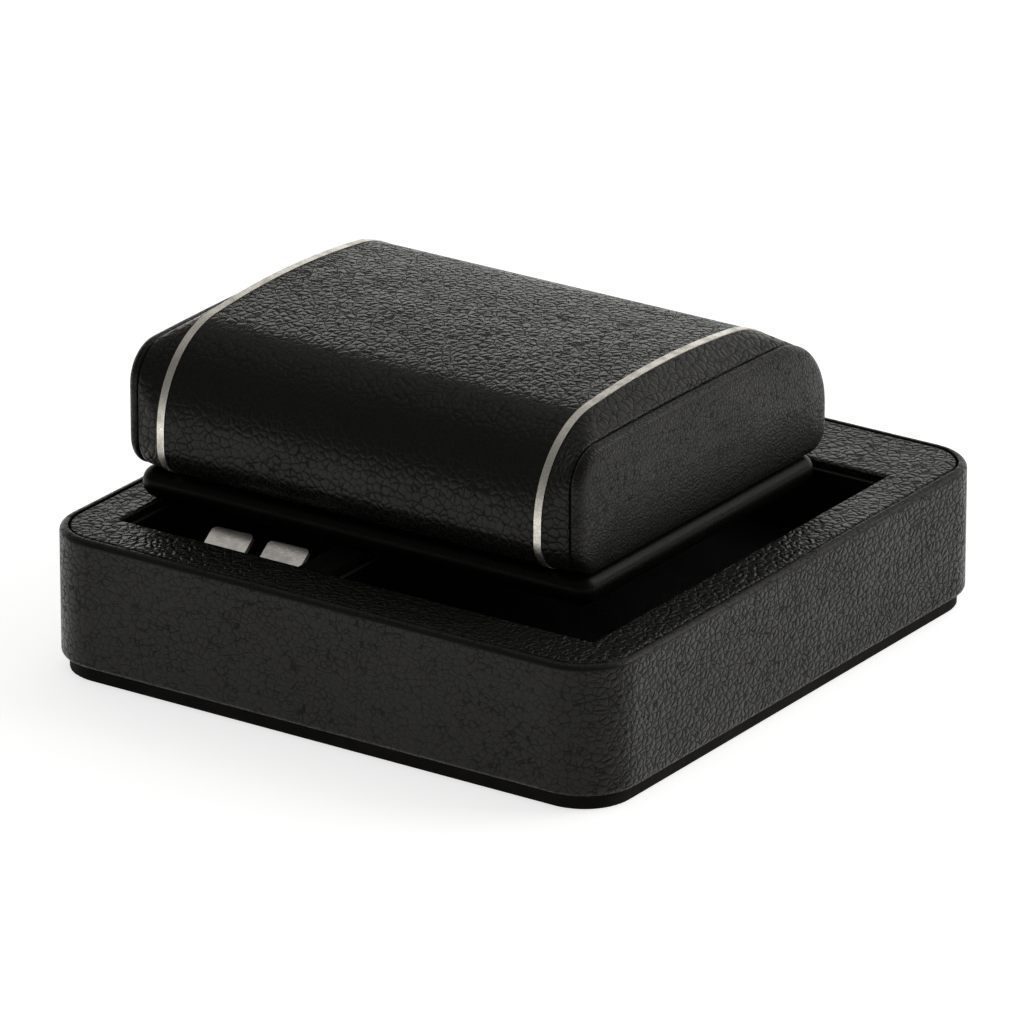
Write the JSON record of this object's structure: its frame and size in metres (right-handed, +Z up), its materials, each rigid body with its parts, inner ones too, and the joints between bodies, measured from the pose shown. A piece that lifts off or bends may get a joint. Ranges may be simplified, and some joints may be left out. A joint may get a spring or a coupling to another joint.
{
  "type": "travel watch stand",
  "caption": "Low square leather tray with two open cells in its rim, and a small domed watch case with a hinged lid and metal trim strips that lies across it and lifts off.",
  "frame": {"origin": "middle of the tray's footprint, on the surface it stands on", "axes": "+X to the right along the long front face, +Y to the rear, +Z up"},
  "size_m": [0.15, 0.1562, 0.0761],
  "materials": {
    "leather": "pebble grain, semi-gloss",
    "velvet": "short pile",
    "suede": "matt, speckled",
    "foam": "open-cell padding",
    "board": "raw fibre board",
    "trim_metal": "satin, pale champagne",
    "polished_steel": "polished",
    "hinge_steel": "nickel plated",
    "screw_steel": "zinc plated",
    "magnet": "nickel plated"
  },
  "bodies": {
    "tray": {"base_felt": "velvet", "plinth_board": "board", "base_screws": "screw_steel", "base_board": "board", "wall_rail_front": "board", "wall_rail_rear": "board", "wall_rail_left": "board", "wall_rail_right": "board", "wall_foam": "foam", "wall_leather": "leather", "rim_board": "board", "rim_leather": "leather", "divider_core": "board", "divider_leather": "leather", "cell_liner_left": "suede", "cell_liner_right": "suede", "cell_floor_left": "suede", "cell_floor_right": "suede"},
    "case_base": {"case_base_board": "board", "case_base_leather": "leather", "case_base_lining": "suede", "well_frame": "suede", "base_magnets": "magnet", "hinge_leaf_base_left": "hinge_steel", "hinge_leaf_base_right": "hinge_steel", "hinge_pins": "hinge_steel", "hinge_screws_base": "screw_steel"},
    "lid": {"hinge_leaf_lid_left": "hinge_steel", "hinge_leaf_lid_right": "hinge_steel", "hinge_screws_lid": "screw_steel", "lid_shell": "board", "lid_front_rail": "board", "lid_rear_rail": "board", "lid_end_board_left": "board", "lid_end_board_right": "board", "lid_lining": "suede", "lid_end_lining_left": "suede", "lid_end_lining_right": "suede", "lid_skin_center": "leather", "lid_skin_left": "leather", "lid_skin_right": "leather", "trim_strip_left": "trim_metal", "trim_strip_right": "trim_metal", "end_pad_core_left": "foam", "end_pad_core_right": "foam", "end_pad_cover_left": "leather", "end_pad_cover_right": "leather", "lid_magnets": "magnet"},
    "watch_cushion_left": {"watch_cushion_cover_left": "suede", "watch_cushion_core_left": "foam"},
    "watch_cushion_right": {"watch_cushion_cover_right": "suede", "watch_cushion_core_right": "foam"},
    "cufflink_left": {"cufflink_left_face": "polished_steel", "cufflink_left_back": "polished_steel"},
    "cufflink_right": {"cufflink_right_face": "polished_steel", "cufflink_right_back": "polished_steel"}
  },
  "joints": [
    {"name": "case_lift", "type": "slide", "parent": "tray", "child": "case_base", "axis": [0, 0, 1], "range_m": [0, 0.08]},
    {"name": "lid_hinge", "type": "hinge", "parent": "case_base", "child": "lid", "pos_m": [-0.0078, 0.0454, 0.04115], "axis": [-1, 0, 0], "range_deg": [0, 95]},
    {"name": "watch_cushion_left_lift", "type": "slide", "parent": "case_base", "child": "watch_cushion_left", "axis": [0, 0, 1], "range_m": [0, 0.05]},
    {"name": "cufflink_left_lift", "type": "slide", "parent": "tray", "child": "cufflink_left", "axis": [0, 0, 1], "range_m": [0, 0.032]},
    {"name": "watch_cushion_right_lift", "type": "slide", "parent": "case_base", "child": "watch_cushion_right", "axis": [0, 0, 1], "range_m": [0, 0.05]},
    {"name": "cufflink_right_lift", "type": "slide", "parent": "tray", "child": "cufflink_right", "axis": [0, 0, 1], "range_m": [0, 0.032]}
  ],
  "couplings": [
    {"joint": "watch_cushion_left_lift", "follows": "lid_hinge", "m_per_rad": 0.03},
    {"joint": "cufflink_left_lift", "follows": "case_lift", "ratio": 0.4},
    {"joint": "watch_cushion_right_lift", "follows": "lid_hinge", "m_per_rad": 0.03},
    {"joint": "cufflink_right_lift", "follows": "case_lift", "ratio": 0.4}
  ]
}
